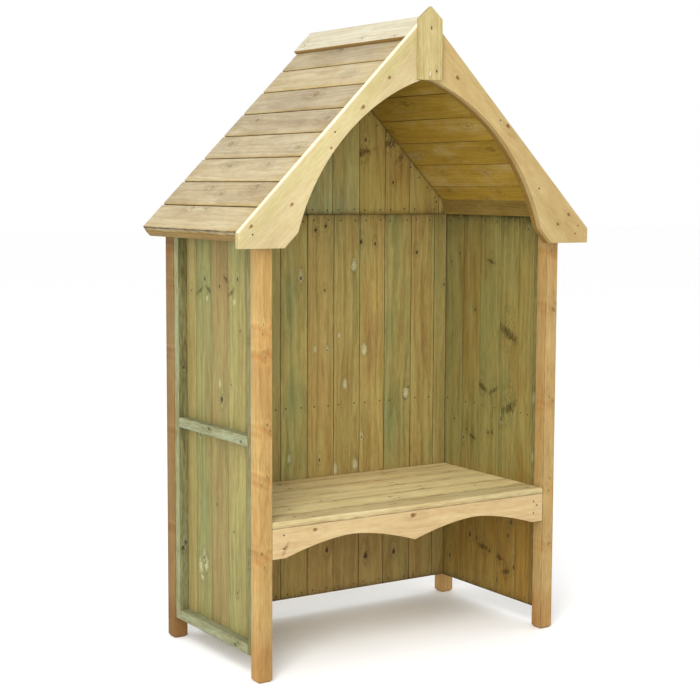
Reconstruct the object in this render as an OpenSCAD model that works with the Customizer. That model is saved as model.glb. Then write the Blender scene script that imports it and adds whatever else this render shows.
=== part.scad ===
// Garden arbor seat in treated softwood: boarded box on four posts, boarded roof
// at 45 degrees, arched bargeboards with a pointed finial, and a boarded seat.
// Millimetres. X to the right, front faces -Y, Z up, ground at z = 0.

/* [Posts] */
// Width over the posts
posts_w = 1125; // [1060:5:1250]
// Depth over the posts
posts_d = 604; // [560:2:700]
// Side of a square post
post = 48; // [44:1:60]
// Height of the post tops
post_h = 1373; // [1340:1:1420]
// Cut on the long edges of a post
post_edge = 3; // [1:0.5:5]
// Cut round the foot of a post
foot_edge = 7; // [3:1:10]

/* [Panels] */
// Height of the panels above ground
panel_z = 70; // [50:5:120]
// Thickness of the tongued boards
board_t = 11; // [9:1:16]
// Side of the square battens behind the boards
batten = 31; // [26:1:36]
// Underside of the middle batten
mid_batten_z = 700; // [600:5:800]

/* [Roof] */
// Height of the wall plates' outer edge over the posts
plate_edge = 4; // [2:1:10]
// Depth of the roof boards' top below the bargeboard's top edge
roof_drop = 15; // [12:1:20]
// Thickness of the roof boards
roof_t = 18; // [14:1:22]
// Overhang of the roof boards past the posts at each eave
eave_over = 67; // [55:1:80]
// Overhang of the roof boards past the rear posts
rear_over = 30; // [24:1:45]
// Reach of the ridge boards past the roof boards at the rear
cap_over = 4; // [1:1:12]
// Slope length of a ridge board
cap_len = 95; // [80:1:110]
// Thickness of a ridge board
cap_t = 13; // [10:1:14]
// Thickness of the eave batten
eave_t = 22; // [16:1:26]
// Setback of the gable boards behind the back boards
gable_back = 20; // [12:1:30]
// Width of the ridge batten
ridge_w = 44; // [36:1:60]
// Depth of the ridge batten
ridge_h = 50; // [40:1:70]

/* [Front] */
// Thickness of a bargeboard
barge_t = 22; // [16:1:26]
// Thickness of the arched rafter behind a bargeboard
rafter_t = 22; // [16:1:30]
// Overhang of the bargeboards past the posts
barge_over = 87.5; // [82:0.5:100]
// Drop of the bargeboards' feet below the post tops
barge_drop = 83; // [70:1:100]
// Reach of a bargeboard's level foot inside the post
foot_in = 15.5; // [8:0.5:30]
// Height of the slanting cut between the foot and the arch
foot_cut = 45; // [35:1:55]
// Depth of the bargeboards at the peak
arch_depth = 190; // [170:1:210]
// Rise of each half of the arch over its chord
arch_bow = 82; // [70:1:95]
// Width of the finial
finial_w = 84; // [70:1:96]
// Thickness of the finial
finial_t = 18; // [14:1:24]
// Drop of the finial's foot below the arch peak
finial_drop = 8; // [0:1:16]
// Drop of the finial's shoulders below the bargeboard peak
shoulder_drop = 16; // [0:1:30]
// Height of the finial's point above its shoulders
finial_point = 37; // [24:1:48]

/* [Seat] */
// Height of the seat
seat_z = 480; // [440:5:500]
// Thickness of the seat boards
seat_t = 20; // [16:1:26]
// Width of the front seat board
seat_front = 86; // [80:1:95]
// Width of the narrow rear seat board
seat_rear = 54; // [46:1:70]
// Height of the apron at its ends
apron_h = 91; // [80:1:110]
// Rounding of the front seat board's nose
seat_nose = 8; // [4:1:12]
// Easing of the seat boards' top edges
seat_ease = 2; // [1:0.5:3]
// Rise of each curve in the apron
apron_rise = 46; // [30:1:55]
// Level end of the apron beside each post
apron_flat = 44; // [30:1:60]
// Thickness of the apron
apron_t = 22; // [16:1:26]

/* [Hidden] */
px = posts_w / 2;
ix = px - post;
iy = posts_d - post;
fit = 0.2;
root2 = sqrt(2);
under_c = post_h + px + plate_edge;
top_c = under_c + roof_t * root2;
peak_z = top_c + roof_drop * root2;
slope_len = (px + eave_over) * root2 + roof_drop;
roof_rear = posts_d + rear_over;
cap_rear = roof_rear + cap_over;
gable_y = iy + gable_back;
gable_c = under_c - 2;
barge_half = px + barge_over;
barge_z = post_h - barge_drop;
arch_z = peak_z - arch_depth;
finial_z = arch_z - finial_drop;
shoulder_z = peak_z - shoulder_drop;
arch_ex = ix - foot_in - foot_cut;
arch_ez = barge_z + foot_cut;
chord = norm([arch_ex, arch_z - arch_ez]);
arch_r = chord * chord / 8 / arch_bow + arch_bow / 2;
arch_off = sqrt(arch_r * arch_r - chord * chord / 4);
arch_cx = arch_ex / 2 - arch_off * (arch_z - arch_ez) / chord;
arch_cz = (arch_z + arch_ez) / 2 - arch_off * arch_ex / chord;
barge_y = -rafter_t - barge_t;
mid_y = (cap_rear + barge_y - finial_t) / 2;
seat_b = seat_z - seat_t;
seat_cover = (iy - seat_front - seat_rear) / 4;
apron_z = seat_b - apron_h;
apron_mid = (ix - apron_flat) / 2;
tan_wood = [0.78, 0.58, 0.36];
pale_wood = [0.86, 0.77, 0.55];
green_wood = [0.66, 0.62, 0.38];
roof_wood = [0.80, 0.71, 0.55];

// Sets the middle of the depth over origin.
module place() translate([0, -mid_y, 0]) children();

// Point on a slope: s along it from the peak, n outwards from the bargeboard edge.
function slope_pt(s, n) = [(s + n) / root2, peak_z + (n - s) / root2];
function apron_pt(x) = [x, apron_z + apron_rise * (1 - pow(abs(x - apron_mid) / apron_mid, 1.65))];

// Extrudes a front-view outline from y0 to y1.
module front_plate(y0, y1) {
  translate([0, y1, 0]) rotate([90, 0, 0]) linear_extrude(height = y1 - y0) children();
}

// Extrudes a side-view outline, given as (y, z), over the length between the panels.
module seat_length(x0, x1) {
  translate([x0, 0, 0]) rotate([90, 0, 90]) linear_extrude(height = x1 - x0) children();
}

module post_at(x, y) {
  e = post_edge;
  w = post;
  translate([x, y, 0]) difference() {
    linear_extrude(height = post_h) polygon([[e, 0], [w - e, 0], [w, e], [w, w - e],
      [w - e, w], [e, w], [0, w - e], [0, e]]);
    for (a = [0, 90, 180, 270])
      translate([w / 2, w / 2, 0]) rotate([0, 0, a]) translate([0, -w / 2, 0])
        rotate([45, 0, 0]) cube([2 * w, foot_edge * root2, foot_edge * root2], center = true);
  }
}

module post_front_left() color(tan_wood) place() post_at(-px, 0);
module post_front_right() color(tan_wood) place() post_at(ix, 0);
module post_rear_left() color(tan_wood) place() post_at(-px, iy);
module post_rear_right() color(tan_wood) place() post_at(ix, iy);

module side_boards(x0) {
  translate([x0, post, panel_z]) cube([board_t, iy - post, post_h - panel_z]);
}

// Two upright battens with three cross battens fitted between them.
module side_frame(x0) {
  for (y = [post, iy - batten])
    translate([x0, y, panel_z]) cube([batten, batten, post_h - panel_z]);
  for (z = [panel_z, mid_batten_z, post_h - batten])
    translate([x0, post + batten + fit, z]) cube([batten, iy - post - 2 * (batten + fit), batten]);
}

module side_boards_left() color(green_wood) place() side_boards(-ix - board_t);
module side_boards_right() color(green_wood) place() side_boards(ix);
module side_frame_left() color(green_wood) place() side_frame(-ix - board_t - batten);
module side_frame_right() color(green_wood) place() side_frame(ix + board_t);

module back_boards() color(green_wood) place()
  translate([-ix, iy, panel_z]) cube([2 * ix, board_t, post_h - panel_z]);

module back_frame() color(green_wood) place() {
  y0 = iy + board_t;
  for (x = [-ix, ix - batten])
    translate([x, y0, panel_z]) cube([batten, batten, post_h - panel_z]);
  for (z = [panel_z, mid_batten_z, post_h - batten])
    translate([-ix + batten + fit, y0, z]) cube([2 * (ix - batten - fit), batten, batten]);
}

module gable_boards() color(green_wood) place()
  front_plate(gable_y, gable_y + board_t)
    polygon([[-px, post_h], [px, post_h], [px, gable_c - px], [0, gable_c],
      [-px, gable_c - px]]);

// Tie, two sloping battens and a king batten, each with a fitted joint.
module gable_frame() color(green_wood) place()
  front_plate(gable_y + board_t, gable_y + board_t + batten) {
    tie_z = post_h + batten;
    low_z = tie_z + fit;
    in_c = under_c - batten * root2;
    polygon([[-px, post_h], [px, post_h], [px, under_c - px], [under_c - tie_z, tie_z],
      [tie_z - under_c, tie_z], [-px, under_c - px]]);
    for (m = [0, 1]) mirror([m, 0])
      polygon([[fit / 2, in_c - fit / 2], [fit / 2, under_c - fit / 2], [under_c - low_z, low_z],
        [in_c - low_z, low_z]]);
    translate([-batten / 2, low_z]) square([batten, in_c - batten / 2 - fit * 2 - low_z]);
  }

module wall_plate()
  front_plate(0, gable_y)
    polygon([[ix, post_h], [px, post_h], [px, under_c - px], [ix, under_c - ix]]);

module wall_plate_left() color(green_wood) place() mirror([1, 0, 0]) wall_plate();
module wall_plate_right() color(green_wood) place() wall_plate();

module ridge_batten() color(green_wood) place()
  front_plate(0, gable_y)
    polygon([[-ridge_w / 2, under_c - ridge_h], [ridge_w / 2, under_c - ridge_h],
      [ridge_w / 2, under_c - ridge_w / 2], [0, under_c], [-ridge_w / 2, under_c - ridge_w / 2]]);

// Tongued boards of one slope.
module roof_boards() {
  n0 = -roof_drop;
  front_plate(-rafter_t, roof_rear)
    polygon([[0, under_c], slope_pt(slope_len, n0 - roof_t), slope_pt(slope_len, n0),
      [0, top_c]]);
}

module roof_boards_left() color(roof_wood) place() mirror([1, 0, 0]) roof_boards();
module roof_boards_right() color(roof_wood) place() roof_boards();

module eave_batten() {
  n1 = -roof_drop - roof_t;
  front_plate(-rafter_t, roof_rear)
    polygon([slope_pt(slope_len - batten, n1), slope_pt(slope_len, n1),
      slope_pt(slope_len, n1 - eave_t), slope_pt(slope_len - batten, n1 - eave_t)]);
}

module eave_batten_left() color(tan_wood) place() mirror([1, 0, 0]) eave_batten();
module eave_batten_right() color(tan_wood) place() eave_batten();

module ridge_board()
  front_plate(-rafter_t, cap_rear)
    polygon([[0, top_c], slope_pt(cap_len, -roof_drop), slope_pt(cap_len, cap_t - roof_drop),
      [0, top_c + cap_t * root2]]);

module ridge_board_left() color(roof_wood) place() mirror([1, 0, 0]) ridge_board();
module ridge_board_right() color(roof_wood) place() ridge_board();

// Foot of a front board: level bottom and a slanting cut up to the arch.
function foot_pts(x1) = [[x1, barge_z], [arch_ex + foot_cut, barge_z]];
// Arc from the end of the cut up to the peak of the arch.
function arch_pts() = [for (i = [0 : 16])
  let (a0 = atan2(arch_ez - arch_cz, arch_ex - arch_cx),
    a1 = atan2(arch_z - arch_cz, -arch_cx), a = a0 + (a1 - a0) * i / 16)
  [arch_cx + arch_r * cos(a), arch_cz + arch_r * sin(a)]];

module front_rafter() {
  x1 = px + barge_over / 7;
  front_plate(-rafter_t, 0)
    polygon(concat([[0, under_c], [x1, under_c - x1]], foot_pts(x1), arch_pts()));
}

module front_rafter_left() color(pale_wood) place() mirror([1, 0, 0]) front_rafter();
module front_rafter_right() color(pale_wood) place() front_rafter();

module bargeboard()
  front_plate(barge_y, -rafter_t)
    polygon(concat([[0, peak_z], [barge_half, peak_z - barge_half]], foot_pts(barge_half),
      arch_pts()));

module bargeboard_left() color(pale_wood) place() mirror([1, 0, 0]) bargeboard();
module bargeboard_right() color(pale_wood) place() bargeboard();

module finial() color(pale_wood) place()
  front_plate(barge_y - finial_t, barge_y)
    polygon([[-finial_w / 2, finial_z], [finial_w / 2, finial_z], [finial_w / 2, shoulder_z],
      [0, shoulder_z + finial_point], [-finial_w / 2, shoulder_z]]);

// Seat boards run from side to side with eased top edges.
module seat_board(y0, y1) color(pale_wood) place()
  seat_length(-ix, ix)
    polygon([[y0, seat_b], [y1, seat_b], [y1, seat_z - seat_ease], [y1 - seat_ease, seat_z],
      [y0 + seat_ease, seat_z], [y0, seat_z - seat_ease]]);

module seat_board_1() color(pale_wood) place()
  seat_length(-ix, ix)
    polygon(concat([[0, seat_b], [seat_front, seat_b], [seat_front, seat_z - seat_ease],
      [seat_front - seat_ease, seat_z]],
      [for (a = [90 : -30 : 0]) [seat_nose * (1 - cos(a)), seat_z - seat_nose * (1 - sin(a))]]));
module seat_board_2() seat_board(seat_front, seat_front + seat_cover);
module seat_board_3() seat_board(seat_front + seat_cover, seat_front + 2 * seat_cover);
module seat_board_4() seat_board(seat_front + 2 * seat_cover, seat_front + 3 * seat_cover);
module seat_board_5() seat_board(seat_front + 3 * seat_cover, seat_front + 4 * seat_cover);
module seat_board_6() seat_board(seat_front + 4 * seat_cover, iy);

// Apron with two curves that meet in a point at the middle.
module seat_apron() color(pale_wood) place() {
  n = 20;
  run = 2 * apron_mid;
  front_plate(0, apron_t)
    polygon(concat([[-ix, seat_b], [-ix, apron_z]],
      [for (i = [0 : n - 1]) let (p = apron_pt(run * (n - i) / n)) [-p[0], p[1]]],
      [for (i = [0 : n]) apron_pt(run * i / n)],
      [[ix, apron_z], [ix, seat_b]]));
}

module seat_bearer_left() color(green_wood) place()
  translate([-ix, apron_t, seat_b - batten]) cube([batten, iy - apron_t, batten]);
module seat_bearer_right() color(green_wood) place()
  translate([ix - batten, apron_t, seat_b - batten]) cube([batten, iy - apron_t, batten]);
module seat_bearer_back() color(green_wood) place()
  translate([-ix + batten, iy - batten, seat_b - batten])
    cube([2 * ix - 2 * batten, batten, batten]);
module seat_bearer_middle() color(green_wood) place()
  translate([-batten / 2, apron_t, seat_b - batten])
    cube([batten, iy - batten - apron_t, batten]);

post_front_left();
post_front_right();
post_rear_left();
post_rear_right();
side_boards_left();
side_boards_right();
side_frame_left();
side_frame_right();
back_boards();
back_frame();
gable_boards();
gable_frame();
wall_plate_left();
wall_plate_right();
ridge_batten();
roof_boards_left();
roof_boards_right();
eave_batten_left();
eave_batten_right();
ridge_board_left();
ridge_board_right();
front_rafter_left();
front_rafter_right();
bargeboard_left();
bargeboard_right();
finial();
seat_board_1();
seat_board_2();
seat_board_3();
seat_board_4();
seat_board_5();
seat_board_6();
seat_apron();
seat_bearer_left();
seat_bearer_right();
seat_bearer_back();
seat_bearer_middle();
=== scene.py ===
import math

import bpy
import numpy as np
from mathutils import Matrix, Vector


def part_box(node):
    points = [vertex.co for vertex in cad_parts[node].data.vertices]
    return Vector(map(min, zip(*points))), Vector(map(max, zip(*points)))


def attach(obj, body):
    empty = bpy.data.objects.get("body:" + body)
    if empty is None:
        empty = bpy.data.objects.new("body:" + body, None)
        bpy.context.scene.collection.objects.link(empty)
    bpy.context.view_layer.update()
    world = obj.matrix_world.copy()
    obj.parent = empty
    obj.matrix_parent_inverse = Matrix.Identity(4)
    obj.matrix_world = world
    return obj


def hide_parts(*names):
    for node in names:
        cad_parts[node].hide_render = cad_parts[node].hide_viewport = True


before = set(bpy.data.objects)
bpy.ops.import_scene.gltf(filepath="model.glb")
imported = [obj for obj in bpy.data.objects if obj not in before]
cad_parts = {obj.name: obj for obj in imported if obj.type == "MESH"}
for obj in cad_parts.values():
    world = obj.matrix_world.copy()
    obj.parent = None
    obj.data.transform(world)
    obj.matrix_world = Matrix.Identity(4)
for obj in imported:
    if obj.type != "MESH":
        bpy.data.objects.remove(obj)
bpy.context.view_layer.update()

# --- Posts ---------------------------------------------------------------------------
# Four square planed softwood posts with the long arrises eased on the planer and the
# foot cut back all round, so that it doesn't splinter when the seat is walked into place.
ROOT_HALF = math.sqrt(0.5)
NO_KNOT = np.array([[0.0, 0.0, 1e-4, 0.0]])
dice = np.random.default_rng(31)


def srgb(red, green, blue):
    """Linear colour from the 0-255 values of a paint card: each divided by 255 and raised
    to the power 2.2."""
    return tuple((v / 255) ** 2.2 for v in (red, green, blue)) + (1.0,)


def eased_section(thick, ease, columns, nose=None):
    """Section of a sawn timber: a rectangle whose corners are quarter circles. Each point
    is a fraction across the width, a shift across, a height over the back face, and the
    darkening (dirt and painted shade) and the warmth that it adds. The face has the given
    number of columns, and its low corner may have a larger nose."""
    nose = nose or ease
    turn = np.linspace(0, np.pi / 2, 5)
    strip = np.linspace(0, 1, columns + 1)
    rise, fall = np.sin(turn), np.cos(turn)
    one, nil = np.ones(4), np.zeros(4)
    face = (strip, nose - (nose + ease) * strip, np.full(columns + 1, thick))
    back = (1 - strip, ease * (2 * strip - 1), np.zeros(columns + 1))
    top_out = (one, -ease + ease * rise[1:], thick - ease + ease * fall[1:])
    top_in = (one, -ease + ease * fall[:-1], ease - ease * rise[:-1])
    low_in = (nil, ease - ease * rise[1:], ease - ease * fall[1:])
    low_out = (nil, nose - nose * fall[:-1], thick - nose + nose * rise[:-1])
    outline = np.concatenate([face, top_out, top_in, back, low_in, low_out], axis=1)
    return np.vstack([outline, np.zeros((2, outline.shape[1]))])


def stick(section, along, across, origin, axes, ease=0.001, step=0.03, lean=0.0,
          knots=NO_KNOT, tone=(0.5, 0.0, 0.0), under=None, grime_and_shade=(0.0, 0.0), fade=0.012,
          places=None, wash=None):
    """One timber: a section carried along its length. along and across each give two ends,
    as numbers or as functions (ends of the length as functions of the place across, edges
    as functions of the place along). A point is origin + a times the first axis + b times
    the second + height times the third. lean turns the grain against the first axis.
    tone is the face's lightness, green and warmth, under the back's; the two ends are
    darkened, with dirt and painted shade, fading inwards; wash gives what a place adds to
    lightness, green, warmth and the share left undarkened by dirt and painted shade."""
    low, high = (f if callable(f) else (lambda a, f=f: f + 0 * a) for f in across)
    start, end = (f if callable(f) else (lambda b, f=f: f + 0 * b) for f in along)
    centre = 0.0 if callable(across[0]) else 0.5 * (across[0] + across[1])
    a0, a1 = (float(f(np.array([centre]))[0]) for f in (start, end))
    if places is None:
        places = np.linspace(a0 + ease, a1 - ease, max(3, int((a1 - a0) / step) + 1))
        if max(grime_and_shade) > 0:
            # rows close to both ends carry the fading darkening, dirt and painted shade
            near = fade * np.array([0.3, 0.7, 1.2, 2.0, 3.2])
            near = near[near < 0.4 * (a1 - a0)]
            places = np.unique(np.concatenate([places, a0 + near, a1 - near]))
    t = np.concatenate([[0.0], (np.asarray(places) - a0) / (a1 - a0), [1.0]])
    pinch = np.zeros(len(t))
    pinch[[0, -1]] = ease
    share, shift, height, hidden, warmer = section
    lows, highs = low(a0 + t * (a1 - a0)), high(a0 + t * (a1 - a0))
    wide = (highs - lows)[:, None]
    b = lows[:, None] + share * wide + shift
    b -= pinch[:, None] * 2 * (b - lows[:, None] - wide / 2) / wide
    thick = height.max() - height.min()
    c = height - pinch[:, None] * 2 * (height - height.min() - thick / 2) / thick
    a = start(b) + t[:, None] * (end(b) - start(b))
    axes = np.asarray(axes, float)
    points = np.asarray(origin, float) + a[..., None] * axes[0] + b[..., None] * axes[1] \
        + c[..., None] * axes[2]
    rows, ring = a.shape
    j, k = np.meshgrid(np.arange(rows - 1), np.arange(ring), indexing="ij")
    n = (k + 1) % ring
    quads = np.stack([j * ring + k, j * ring + n, (j + 1) * ring + n, (j + 1) * ring + k], -1)
    # each end is closed on both sides of its middle, so that it can rise to a point
    cut = np.flatnonzero(share == 0.5)
    halves = [np.r_[cut[0]:cut[1] + 1], np.r_[cut[1]:ring, 0:cut[0] + 1]] \
        if len(cut) == 2 else [np.arange(ring)]
    caps = [h[::-1] for h in halves] + [(rows - 1) * ring + h for h in halves]
    flat = points.reshape(-1, 3)
    q = flat[quads.reshape(-1, 4)]
    volume = np.einsum("ij,ij->", np.cross(q[:, 1] - q[:, 0], q[:, 2] - q[:, 0]),
                       q[:, 0] - flat.mean(0))
    flip = -1 if volume < 0 else 1
    faces = [f[::flip] for f in quads.reshape(-1, 4)] + [f[::flip] for f in caps]
    ct, st = math.cos(lean), math.sin(lean)
    run, side = (a * ct + b * st).ravel(), (b * ct - a * st).ravel()
    knots = np.asarray(knots, float).reshape(-1, 4)
    spot_run = knots[:, 0] * ct + knots[:, 1] * st
    spot_side = knots[:, 1] * ct - knots[:, 0] * st
    corners = np.concatenate(faces)
    sizes = np.array([len(f) for f in faces])
    face_of = np.repeat(np.arange(len(faces)), sizes)
    mid_run = np.bincount(face_of, run[corners]) / sizes
    mid_side = np.bincount(face_of, side[corners]) / sizes
    gap = np.hypot(mid_run[:, None] - spot_run, mid_side[:, None] - spot_side) / knots[:, 2]
    near = gap.argmin(1)[face_of]
    knot = np.stack([(run[corners] - spot_run[near]) / knots[near, 2],
                     (side[corners] - spot_side[near]) / knots[near, 2],
                     knots[near, 3]], -1)
    # the pith lies this deep under the back and this far aside, and drifts along the length
    depth, aside, drift = (dice.uniform(*span) for span in
                           ((0.03, 0.12), (-0.03, 0.03), (-0.02, 0.02)))
    far = float(dice.integers(0, 40))
    grain = np.stack([run + far, side - (lows + highs).mean() / 2 - aside + drift * run,
                      c.ravel() + depth + 0.6 * drift * run + far], -1)
    shade = np.tile(np.append(tone, 1.0), (rows, ring, 1))
    if under is not None:
        shade[:, height < height.mean(), :3] = under
    shade[..., 3] -= hidden
    shade[..., 2] += warmer
    for much, inward in zip(grime_and_shade, (a - a.min(0), a.max(0) - a)):
        shade[..., 3] -= much * np.exp(-inward / fade)
    if wash:
        for channel, more in enumerate(wash(a, b, c)):
            shade[..., channel] += more
    return {"points": flat, "faces": faces, "grain": grain, "knot": knot,
            "tone": shade.reshape(-1, 4)}


def add_piece(name, points, faces, finish):
    """A smooth mesh with its finish, in a new object that rides the only body."""
    mesh = bpy.data.meshes.new(name)
    mesh.from_pydata(points, [], faces)
    mesh.shade_smooth()
    mesh.materials.append(finish)
    piece = bpy.data.objects.new(name, mesh)
    bpy.context.scene.collection.objects.link(piece)
    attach(piece, "root")
    return piece


def assemble(name, sticks, finish, replaced):
    """One piece from its timbers: the meshes laid end to end in one, with the grain place
    and tone of each point and the place of the nearest knot at each face corner."""
    starts = np.cumsum([0] + [len(s["points"]) for s in sticks])
    faces = [(f + o).tolist() for s, o in zip(sticks, starts) for f in s["faces"]]
    piece = add_piece(name, np.concatenate([s["points"] for s in sticks]), faces, finish)
    for key, kind, domain in (("grain", "FLOAT_VECTOR", "POINT"),
                              ("knot", "FLOAT_VECTOR", "CORNER"),
                              ("tone", "FLOAT_COLOR", "POINT")):
        data = piece.data.attributes.new(key, kind, domain).data
        values = np.concatenate([s[key] for s in sticks]).astype(np.float32).ravel()
        data.foreach_set("color" if kind == "FLOAT_COLOR" else "vector", values)
    piece.data.set_sharp_from_angle(angle=math.radians(40))
    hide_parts(replaced)


def whorls(length, low, high, every=0.4, pale=0.5):
    """Knots of one board, as rows of place along, place across, radius and resin: pine
    branches in whorls, so one to three knots share a height, and whorls repeat upwards."""
    rows = []
    edge = min(0.008, 0.3 * (high - low))
    a = dice.uniform(0.05, every)
    while a < length - 0.02:
        for _ in range(dice.integers(1, 4)):
            rows.append((a + dice.normal(0, 0.012), dice.uniform(low + edge, high - edge),
                         dice.uniform(0.003, 0.0075),
                         dice.uniform(0.3, 0.9) * (dice.random() < pale)))
        a += every * dice.uniform(0.6, 1.4)
    return np.array(rows) if rows else NO_KNOT


def softwood_group():
    """Treated softwood. Rings are shells round the pith, whose distance comes from the
    grain place; latewood darkens towards each ring's edge. Streaks, flecks and blotches
    are noises drawn out along the grain, and round a knot the lines are pushed aside. A
    knot's resin is the strength of its pale halo; above one it has no dark heart, and
    below nought it is a dark slanting smear instead."""
    tree = bpy.data.node_groups.new("softwood", "ShaderNodeTree")
    sockets = {"Vector": ("Grain", "Knot"),
               "Color": ("Tone", "Pale", "Dark", "Green", "Warm", "Core", "Resin", "Dirt and shade"),
               "Float": ("Undarkened", "Ring width", "Rings", "Streaks", "Flecks", "Blotches",
                         "Tinted")}
    for kind, keys in sockets.items():
        for key in keys:
            tree.interface.new_socket(key, in_out="INPUT", socket_type="NodeSocket" + kind)
    for key, kind in (("Colour", "Color"), ("Roughness", "Float"), ("Height", "Float")):
        tree.interface.new_socket(key, in_out="OUTPUT", socket_type="NodeSocket" + kind)

    class Wire:
        """A value in the group. Sums, products and the like of wires are math nodes."""
        def __init__(self, socket):
            self.socket = socket

        def __add__(self, other):
            return maths("ADD", self, other)

        def __sub__(self, other):
            return maths("SUBTRACT", self, other)

        def __rsub__(self, other):
            return maths("SUBTRACT", other, self)

        def __mul__(self, other):
            return maths("MULTIPLY", self, other)

        def __truediv__(self, other):
            return maths("DIVIDE", self, other)

    def new_node(kind):
        return tree.nodes.new("ShaderNode" + kind)

    def feed(node, values, output=0):
        """The node's inputs take wires or plain values; one of its outputs is given."""
        for key, value in values.items() if isinstance(values, dict) else enumerate(values):
            if isinstance(value, Wire):
                tree.links.new(value.socket, node.inputs[key])
            else:
                node.inputs[key].default_value = value
        return Wire(node.outputs[output])

    def maths(kind, *values):
        node = new_node("Math")
        node.operation = kind
        return feed(node, values)

    def clamped(wire):
        """The wire's own node keeps its result between nought and one."""
        wire.socket.node.use_clamp = True
        return wire

    def length(first, second):
        return maths("SQRT", first * first + second * second)

    def cloud(vector, size, detail=2.0, rough=0.5):
        """Noise about nought, on the place stretched by size."""
        stretch = new_node("VectorMath")
        stretch.operation = "MULTIPLY"
        return feed(new_node("TexNoise"), {"Vector": feed(stretch, (vector, size)),
                                           "Scale": 1.0, "Detail": detail,
                                           "Roughness": rough}, "Fac") - 0.5

    def blend(share, first, second, kind="MIX"):
        node = new_node("Mix")
        node.data_type, node.blend_type = "RGBA", kind
        return feed(node, {0: share, 6: first, 7: second}, 2)

    def stain(share, colour):
        """The body's colour under a glaze of the given colour."""
        return blend(share, body, blend(1.0, body, colour, "MULTIPLY"))

    def ease(value, low, high, start=0.0, stop=1.0):
        node = new_node("MapRange")
        node.interpolation_type = "SMOOTHSTEP"
        return feed(node, (value, low, high, start, stop))

    def split(vector):
        node = new_node("SeparateXYZ")
        feed(node, (vector,))
        return map(Wire, node.outputs)

    def join(*values):
        return feed(new_node("CombineXYZ"), values)

    come = {s.name: Wire(s) for s in tree.nodes.new("NodeGroupInput").outputs}
    run, side, depth = split(come["Grain"])
    ku, kv, resin = split(come["Knot"])
    bright, greened, warmed = split(come["Tone"])
    # fibres pushed aside by the knot
    push = kv * 0.010 / (ku * ku * 0.3 + kv * kv + 1.3)
    line = side - push + cloud(come["Grain"], (1.8, 6.0, 6.0)) * 0.020
    fibres = join(run, line, depth)
    # growth rings
    year = length(line, maths("FRACT", depth)) / come["Ring width"] \
        + cloud(fibres, (2.4, 22.0, 22.0)) * 2.8
    late = maths("FRACT", year)
    late = ease(late, 0.1, 0.8) * ease(late, 1.0, 0.86)
    streak = cloud(fibres, (1.3, 62.0, 62.0), 4.0, 0.72)
    fleck = cloud(fibres, (26.0, 210.0, 210.0), 2.0, 0.6)
    hue = cloud(fibres, (0.9, 22.0, 22.0), 4.0, 0.65)
    blotch = cloud(come["Grain"], (5.0, 11.0, 11.0), 4.0, 0.65)
    figure = clamped((late - 0.35) * come["Rings"] + streak * come["Streaks"]
                     + blotch * come["Blotches"] + fleck * come["Flecks"] + 0.4)
    # hue of the board: treatment green one way, warm heartwood the other
    patch = cloud(come["Grain"], (3.0, 8.0, 8.0), 3.0, 0.6)
    tint = (hue + patch * 1.1) * come["Tinted"] * 4.0
    uneven = blotch * 1.2 + 1.0
    body = blend(clamped(greened * uneven + maths("MAXIMUM", tint, 0.0)),
                 come["Pale"], come["Green"])
    body = blend(clamped(warmed * uneven + maths("MAXIMUM", tint * -1.0, 0.0)),
                 body, come["Warm"])
    body = stain(figure, come["Dark"])
    level = bright + 0.5
    body = blend(1.0, body, join(level, level, level), "MULTIPLY")
    # knots: each has its own frayed outline, from its resin
    spot = join(ku, kv, resin * 23.0)
    fray = cloud(spot, (0.9, 1.7, 1.0), 3.0, 0.72)
    strokes = cloud(spot, (1.2, 5.5, 1.0), 3.0, 0.75)
    drop = length(ku * 0.52 - maths("ABSOLUTE", ku) * 0.14, kv)
    halo = ease(drop + fray * 4.2, 2.4, 0.2)
    halo = clamped(halo * maths("MAXIMUM", resin, 0.0) * (strokes * 3.0 + 0.55))
    waves = maths("SINE", drop * 3.5 + fray * 20.0)
    swirl = clamped(ease(drop + fray * 2.5, 3.6, 1.0) * (waves * 0.8 + strokes * 1.5 + 0.1))
    body = stain(swirl * come["Rings"] * 1.8, come["Dirt and shade"])
    body = blend(halo, body, come["Resin"])
    heart = length(ku * 0.75, kv) + fray * 2.2
    hearted = ease(resin, 1.1, 1.0) * ease(resin, -0.3, -0.1)
    body = stain(ease(heart, 1.15, 0.35) * hearted * 0.95, come["Core"])
    # smears: the same spot, longer, thinner and on a slant
    tilt = resin * 4.0 + 3.0
    smear = length((kv + tilt * ku * 0.5) * 0.36, (ku - tilt * kv * 0.5) * 1.5)
    smear = ease(smear + fray * 4.5, 2.3, 0.4)
    smear = clamped(smear * clamped(resin * -1.6) * (strokes * 4.5 + 0.8))
    body = stain(smear * 0.95, come["Core"])
    # dirt and old treatment held in the joints, and painted shade in joints, corners and
    # under the eaves, as one darkening glaze
    grime_and_shade = clamped((1.0 - come["Undarkened"]) * (blotch * 1.3 + fleck * 1.6 + 1.0))
    body = stain(grime_and_shade, come["Dirt and shade"])
    leave = tree.nodes.new("NodeGroupOutput").inputs
    tree.links.new(body.socket, leave["Colour"])
    tree.links.new((0.8 - figure * 0.16).socket, leave["Roughness"])
    height = fleck - late * 0.35 - ease(heart, 1.1, 0.8, 0.0, 0.4)
    tree.links.new(height.socket, leave["Height"])
    return tree


softwood = softwood_group()


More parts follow.
